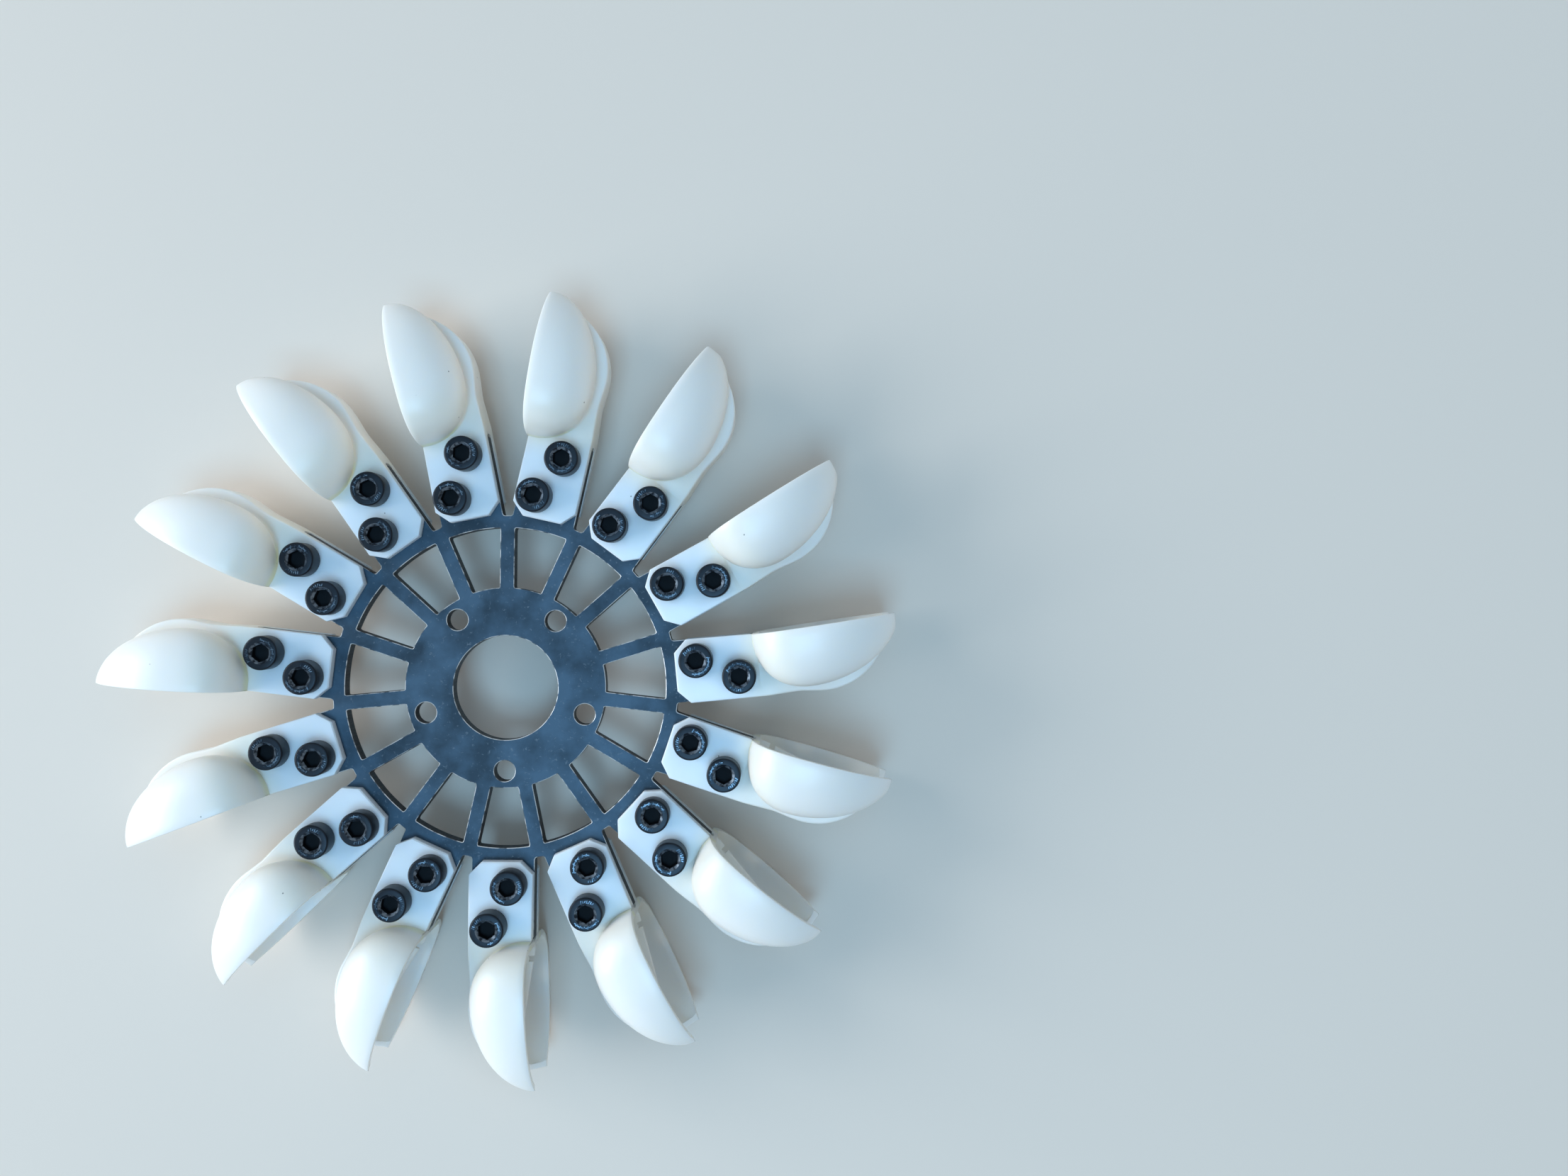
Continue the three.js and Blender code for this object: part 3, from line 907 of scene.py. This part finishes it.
def spine_rib(radius, low, high, half, edge):
    """A rectangle with rounded corners."""
    arc = [(math.sin(math.radians(a)), math.cos(math.radians(a))) for a in EDGE_ANGLES]
    upper = [(radius, high - edge + edge * s, half - edge + edge * c) for s, c in arc]
    lower = [(radius, low + edge - edge * s, half - edge + edge * c) for s, c in arc]
    return mirrored_rib(list(reversed(upper)) + lower)


def model_spine():
    """The fork and the web in one, from the chamfered inner end to the end of the web."""
    half, edge = FORK_HALF_THICKNESS, FORK_EDGE
    inset = FORK_HALF_WIDTH - FORK_CHAMFER
    ribs = [
        spine_rib(FORK_INNER, -inset, inset, half - edge, edge),
        spine_rib(FORK_INNER + edge, -inset - edge, inset + edge, half, edge),
        spine_rib(FORK_INNER + FORK_CHAMFER, -FORK_HALF_WIDTH, FORK_HALF_WIDTH, half, edge),
        spine_rib(ROOT_RADIUS, -FORK_HALF_WIDTH, open_side(ROOT_RADIUS), half, edge),
    ]
    for radius in stations(WEB_START, WEB_END, SPINE_RIBS):
        along = min((radius - ROOT_RADIUS) / (FORK_OUTER - ROOT_RADIUS), 1)
        rounding = edge + (WEB_EDGE - edge) * along
        high = parallel_to(cup_back, min(radius + WEB_IN_WALL, TIP_RADIUS), WEB_IN_WALL)
        ribs.append(spine_rib(radius, spine_back(radius), high, spine_half(radius), rounding))
    return skin("spine", ribs)


print(f"fork {2 * FORK_HALF_THICKNESS} mm thick, web {2 * WEB_HALF_THICKNESS} mm")

# %% [markdown]
# ### What is cut away
#
# The arm slides into a slot with a round end. At the tips a rounded notch lets the jet in before
# the bucket is quite in line with it. Each is a plain cutter of its own, so its size can be changed
# without touching the cups.

# %% The slot for the arm
SLOT_START = 30
SLOT_REACH = 20
SLOT_PLAY = 0.3
SLOT_END_PLAY = 0.7
SLOT_ROUNDING = 1.4
SLOT_TOLERANCE = 0.001


def is_slot_end(edge):
    """True for the two long edges at the slot's closed end."""
    at_end = all(abs(v.co.x / MM - ARM_END - SLOT_END_PLAY) < SLOT_TOLERANCE for v in edge.verts)
    return at_end and abs(edge.verts[0].co.y - edge.verts[1].co.y) > SLOT_REACH * MM


def arm_slot():
    """The gap that the arm slides into, with a round end."""
    half, end = PLATE_HALF + SLOT_PLAY, ARM_END + SLOT_END_PLAY
    side = SLOT_REACH
    slot = slab("slot", [(SLOT_START, -side), (end, -side), (end, side), (SLOT_START, side)], -half, half)
    round_edges(slot, is_slot_end, SLOT_ROUNDING, segments=4)
    return slot


print(f"slot {2 * (PLATE_HALF + SLOT_PLAY):.1f} mm wide for an arm of {2 * PLATE_HALF:.1f} mm")

# %% The notch at the tips
NOTCH_START = 93
NOTCH_FLOOR = 3.8
NOTCH_POWER = 2.2
NOTCH_REACH = 3
NOTCH_STEPS = 10


def tip_notch():
    """The rounded vee at the tips, through which the jet first comes in."""
    ring = []
    for i in range(-NOTCH_STEPS, NOTCH_STEPS + 1):
        across = i / NOTCH_STEPS
        floor = NOTCH_FLOOR + (OPEN_AT_TIP - NOTCH_FLOOR) * abs(across) ** NOTCH_POWER
        ring.append((floor, across * TIP_HALF_WIDTH))
    above, end = OPEN_AT_TIP + NOTCH_REACH, TIP_RADIUS + NOTCH_REACH
    ring += [(above, TIP_HALF_WIDTH), (above, -TIP_HALF_WIDTH)]
    return skin("notch", [[(radius, y, z) for y, z in ring] for radius in (NOTCH_START, end)])


print(f"notch {OPEN_AT_TIP - NOTCH_FLOOR:.1f} mm deep")

# %% [markdown]
# ### One body, fifteen copies
#
# The outside and the spine are joined first and then cut, so each cut runs cleanly through both.
# Points that the cuts leave too close together are merged, because a bevel would fold over itself
# there. The rims on the open side are rounded last. The wheel needs fifteen equal buckets, so one
# is modelled and copied fifteen times.

# %% Put the bucket together
RIBS = 34
CUP_START = ROOT_RADIUS + 0.02
HOLLOW_START = 65.6
HOLLOW_END = 98.1
SPLITTER_GAP = (68.2, 69.7)
SPLITTER_GAP_FLOOR = 6.5
SPLITTER_GAP_TOP = 16.2
SPLITTER_GAP_HALF = 1.2
SHORTEST_EDGE = 0.04
RIM_ROUNDING = 0.25
RIM_TOLERANCE = 0.03


def on_open_side(edge):
    """True for an edge of the rims, the root or the splitter that lies in the plane of the open side."""
    if not edge.is_manifold or edge.calc_face_angle() < CORNER_ANGLE:
        return False
    ends = [(v.co.x / MM, v.co.y / MM) for v in edge.verts]
    return all(abs(y - open_side(radius)) < RIM_TOLERANCE and radius > ROOT_RADIUS for radius, y in ends)


def model_bucket():
    bucket = skin("bucket", [outer_rib(r) for r in stations(CUP_START, TIP_RADIUS, RIBS)])
    combine(bucket, model_spine(), "UNION")
    hollow = skin("hollow", [hollow_rib(r) for r in stations(HOLLOW_START, HOLLOW_END, RIBS)])
    start, end = SPLITTER_GAP
    floor, top = SPLITTER_GAP_FLOOR, SPLITTER_GAP_TOP
    outline = [(start, floor), (end, floor), (end, top), (start, top)]
    gap = slab("gap", outline, -SPLITTER_GAP_HALF, SPLITTER_GAP_HALF)
    for cutter in (hollow, gap, tip_notch(), arm_slot()):
        combine(bucket, cutter, "DIFFERENCE")
    reach = FORK_HALF_THICKNESS + CUT_CLEARANCE
    for x, y in SCREW_PLACES.values():
        combine(bucket, rod("hole", SCREW_HOLE, -reach, reach, x=x, y=y, sides=32), "DIFFERENCE")
    merge_points(bucket, SHORTEST_EDGE)
    rim_edges = round_edges(bucket, on_open_side, RIM_ROUNDING)
    bucket.data.materials.append(NYLON)
    pick(bucket)
    bpy.ops.object.shade_smooth_by_angle(angle=SMOOTH_ANGLE)
    print(f"bucket: {len(bucket.data.polygons)} faces, {rim_edges} rim edges")
    return bucket


# %% Fifteen buckets
bucket = model_bucket()
for k in range(BUCKETS):
    node = f"bucket_{k + 1:02d}"
    copy = turned_copy(bucket, f"nylon_{node}", FIRST_ANGLE + k * PITCH)
    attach(copy, "root")
    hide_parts(node)
bpy.data.objects.remove(bucket)
print(f"{BUCKETS} buckets, {math.degrees(PITCH):.0f} degrees apart")

# %% [markdown]
# ## Cap screws and lock nuts
#
# The heads are M5: 8.5 mm across and 5 mm high, with a 4 mm hexagon. A cone leads the key into the
# hexagon, and raised strokes stand on two stretches of the top. A lock nut sits on each thread at
# the back. One screw and one nut are modelled on the axis, and each copy is turned by another
# angle, as hands leave them.

# %% Screw sizes, in millimetres
screw_low, screw_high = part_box("cap_screw_01_inner")
HEAD_TOP = screw_high.z / MM
HEAD_DIAMETER = 8.5
HEAD_HEIGHT = 5
SEAT = HEAD_TOP - HEAD_HEIGHT
THREAD = 5
SCREW_END = screw_low.z / MM
SOCKET = 4
SOCKET_DEPTH = 2.5
NUT = 8
NUT_HEIGHT = 5
ACROSS_CORNERS = 1 / math.cos(math.pi / 6)
HEAD_ROUNDING = 0.5
CONE_DIAMETER = 5.5
CONE_DEPTH = 0.65
CONE_SLOPE = (0.3, 0.95)
BELOW_TOP = 0.01
MARK_RADIUS = 3.25
MARK_WIDTH = 0.24
MARK_HEIGHT = 0.1
MARK_LENGTH = 0.85
MARK_SHORTENING = 0.3
MARK_CHANGE = 2.3
MARK_SLANTS = (0, 0.5, math.pi / 2, -0.35)
MARK_STEP = 0.155
MARK_STRETCHES = ((1.7, 14), (5.1, 7))
SHANK_CHAMFER = 0.5
SHANK_OVERLAP = 0.01
NUT_ROUNDING = 0.35
COLLAR_HEIGHT = 1.2
COLLAR_DIAMETER = 7.3
COLLAR_ROUNDING = 0.6
COLLAR_OVERLAP = 0.5
print(f"screws {HEAD_TOP - SCREW_END:.1f} mm long, heads {HEAD_DIAMETER} mm across")


# %% Raised strokes on the head
def mark(angle, length, slant):
    """One raised stroke on the head's top, at a slant to the line outwards."""
    deselect()
    bpy.ops.mesh.primitive_cube_add(size=1)
    stroke = bpy.context.object
    size = Matrix.Diagonal((length * MM, MARK_WIDTH * MM, 2 * MARK_HEIGHT * MM, 1))
    slanted = Matrix.Rotation(slant, 4, "Z") @ size
    outwards = Matrix.Translation(Vector((MARK_RADIUS, 0, HEAD_TOP)) * MM) @ slanted
    stroke.data.transform(Matrix.Rotation(angle, 4, "Z") @ outwards)
    stroke.data.materials.append(WORN_OXIDE)
    return stroke


def model_marks():
    """Strokes of changing length and slant, fourteen on one side of the head and seven on the other."""
    strokes = []
    for start, count in MARK_STRETCHES:
        for i in range(count):
            length = MARK_LENGTH - MARK_SHORTENING * math.sin(MARK_CHANGE * i + start) ** 2
            slant = MARK_SLANTS[(i * i + count) % len(MARK_SLANTS)]
            strokes.append(mark(start + MARK_STEP * i, length, slant))
    return strokes


print(f"{sum(count for start, count in MARK_STRETCHES)} strokes on a head")


# %% Model a screw and its nut
def is_upper_rim(edge):
    return is_rim_of_flat(edge) and edge.verts[0].co.z > (SEAT + JOIN) * MM


def is_lower_rim(edge):
    return is_rim_of_flat(edge) and edge.verts[0].co.z < (JOIN - SEAT - NUT_HEIGHT) * MM


def model_screw():
    head = rod("screw", HEAD_DIAMETER, SEAT, HEAD_TOP, sides=64)
    for material in (BLACK_OXIDE, WORN_OXIDE, HEXAGON_SHADE):
        head.data.materials.append(material)
    round_edges(head, is_upper_rim, HEAD_ROUNDING, segments=4)
    socket_floor = HEAD_TOP - SOCKET_DEPTH
    socket = rod("socket", SOCKET * ACROSS_CORNERS, socket_floor, HEAD_TOP + CUT_CLEARANCE, sides=6)
    combine(head, socket, "DIFFERENCE")
    deselect()
    bpy.ops.mesh.primitive_cone_add(
        vertices=64,
        radius1=(CONE_DIAMETER / 2 - CONE_DEPTH) * MM,
        radius2=(CONE_DIAMETER / 2 + CONE_DEPTH) * MM,
        depth=2 * CONE_DEPTH * MM,
        location=(0, 0, HEAD_TOP * MM),
    )
    cone = bpy.context.object
    bpy.ops.object.transform_apply(location=True, rotation=True, scale=True)
    combine(head, cone, "DIFFERENCE")
    steepest, flattest = CONE_SLOPE
    for face in head.data.polygons:
        inside = face.center.xy.length < CONE_DIAMETER / 2 * MM
        if inside and socket_floor - JOIN < face.center.z / MM < HEAD_TOP - BELOW_TOP:
            # Cone faces get the worn grey. The hexagon's walls and floor get the near-black painted shade.
            face.material_index = 1 if steepest < face.normal.z < flattest else 2
    shank = rod("shank", THREAD, SCREW_END, SEAT + SHANK_OVERLAP, sides=32)
    round_edges(shank, is_lower_rim, SHANK_CHAMFER, segments=1)
    shank.data.materials.append(BLACK_OXIDE)
    screw = join(head, shank, *model_marks())
    pick(screw)
    bpy.ops.object.shade_smooth_by_angle(angle=SMOOTH_ANGLE)
    return screw


def model_nut():
    """A hexagon with the round collar below it that holds the locking ring."""
    top, bottom = -SEAT, -SEAT - NUT_HEIGHT
    hexagon_end = bottom + COLLAR_HEIGHT
    nut = rod("nut", NUT * ACROSS_CORNERS, hexagon_end, top, sides=6)
    round_edges(nut, is_rim_of_flat, NUT_ROUNDING)
    collar = rod("collar", COLLAR_DIAMETER, bottom, hexagon_end + COLLAR_OVERLAP)
    round_edges(collar, is_lower_rim, COLLAR_ROUNDING, segments=3)
    combine(nut, collar, "UNION")
    thread = rod("thread", THREAD + 2 * JOIN, bottom - CUT_CLEARANCE, top + CUT_CLEARANCE, sides=32)
    combine(nut, thread, "DIFFERENCE")
    nut.data.materials.append(ZINC_PLATE)
    pick(nut)
    bpy.ops.object.shade_smooth_by_angle(angle=SMOOTH_ANGLE)
    return nut


screw, nut = model_screw(), model_nut()
print(f"screw {len(screw.data.polygons)} faces, nut {len(nut.data.polygons)} faces")

# %% Thirty screws with their nuts
TURN_STEP = 2.4
NUT_TURN = 1.7
turn = 0
for k in range(BUCKETS):
    for place_name, place in SCREW_PLACES.items():
        label = f"{k + 1:02d}_{place_name}"
        turn += TURN_STEP
        turned = turned_copy(screw, "turned", turn)
        placed = turned_copy(turned, f"black_screw_{label}", FIRST_ANGLE + k * PITCH, place)
        bpy.data.objects.remove(turned)
        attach(placed, "root")
        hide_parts(f"cap_screw_{label}")
        turned = turned_copy(nut, "turned", turn * NUT_TURN)
        placed = turned_copy(turned, f"lock_nut_{label}", FIRST_ANGLE + k * PITCH, place)
        bpy.data.objects.remove(turned)
        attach(placed, "root")
bpy.data.objects.remove(screw)
bpy.data.objects.remove(nut)
print(f"{2 * BUCKETS} screws and nuts")

# %% [markdown]
# ## The floor and the light
#
# The wheel rests on the backs of its rear cups, on a plain pale table. A window far to the left
# lights it softly, so the cups are brightest on that side. Two patches of cool sky above light the
# flat faces and show as a blue sheen on the plate. The room itself gives the rest: it is bright on
# the window's side and warmer on the far side.

# %% Floor
FLOOR_WIDTH = 6
deselect()
bpy.ops.mesh.primitive_plane_add(size=FLOOR_WIDTH, location=(0, 0, cad_low.z))
floor = bpy.context.object
floor.name = "floor"
floor_finish, _, floor_shader, _ = new_finish("pale_table")
floor_shader.inputs["Base Color"].default_value = colour("#E4D6C8")
floor_shader.inputs["Roughness"].default_value = 0.6
floor.data.materials.append(floor_finish)
print(f"{floor.name} {FLOOR_WIDTH} m wide")


# %% Lights
DAYLIGHT = "#F4FAFF"
SKYLIGHT = "#9CD6FF"


def window(name, place, size, power, tint):
    """A soft rectangular light that looks at the wheel's middle."""
    bpy.ops.object.light_add(type="AREA", location=place)
    light = bpy.context.object
    light.name = name
    light.rotation_euler = (-Vector(place)).to_track_quat("-Z", "Y").to_euler()
    light.data.shape = "RECTANGLE"
    light.data.size, light.data.size_y = size
    light.data.energy = power
    light.data.color = colour(tint)[:3]


def room(left, right, zenith):
    """The room's own light: one colour from the window's side, one from the far wall and one from above."""
    world = bpy.data.worlds.new("room")
    world.use_nodes = True
    tree = world.node_tree
    direction = add(tree, "SeparateXYZ", {0: add(tree, "TexCoord").outputs["Generated"]})
    across = add(tree, "MapRange", {"Value": direction.outputs["X"], "From Min": -1}).outputs["Result"]
    walls = add(tree, "Mix", {"Factor": across, "A": left, "B": right}, data_type="RGBA").outputs["Result"]
    light = add(
        tree,
        "Mix",
        {"Factor": direction.outputs["Z"], "A": walls, "B": zenith},
        data_type="RGBA",
    ).outputs["Result"]
    tree.links.new(light, tree.nodes["Background"].inputs["Color"])
    bpy.context.scene.world = world


window("window_left", place=(-2.3, 0.1, 0.95), size=(2.2, 1.4), power=64, tint=DAYLIGHT)
window("sky_above", place=(0.4, 0.6, 2.1), size=(1.7, 2.4), power=11, tint=SKYLIGHT)
window("roof_window", place=(0, -0.65, 2.1), size=(0.8, 0.8), power=20, tint=SKYLIGHT)
room(left=(0.62, 0.66, 0.7, 1), right=(0.56, 0.49, 0.41, 1), zenith=(0.1, 0.15, 0.2, 1))
bpy.context.scene.view_settings.view_transform = "Standard"
print("two tints of daylight:", DAYLIGHT, SKYLIGHT)
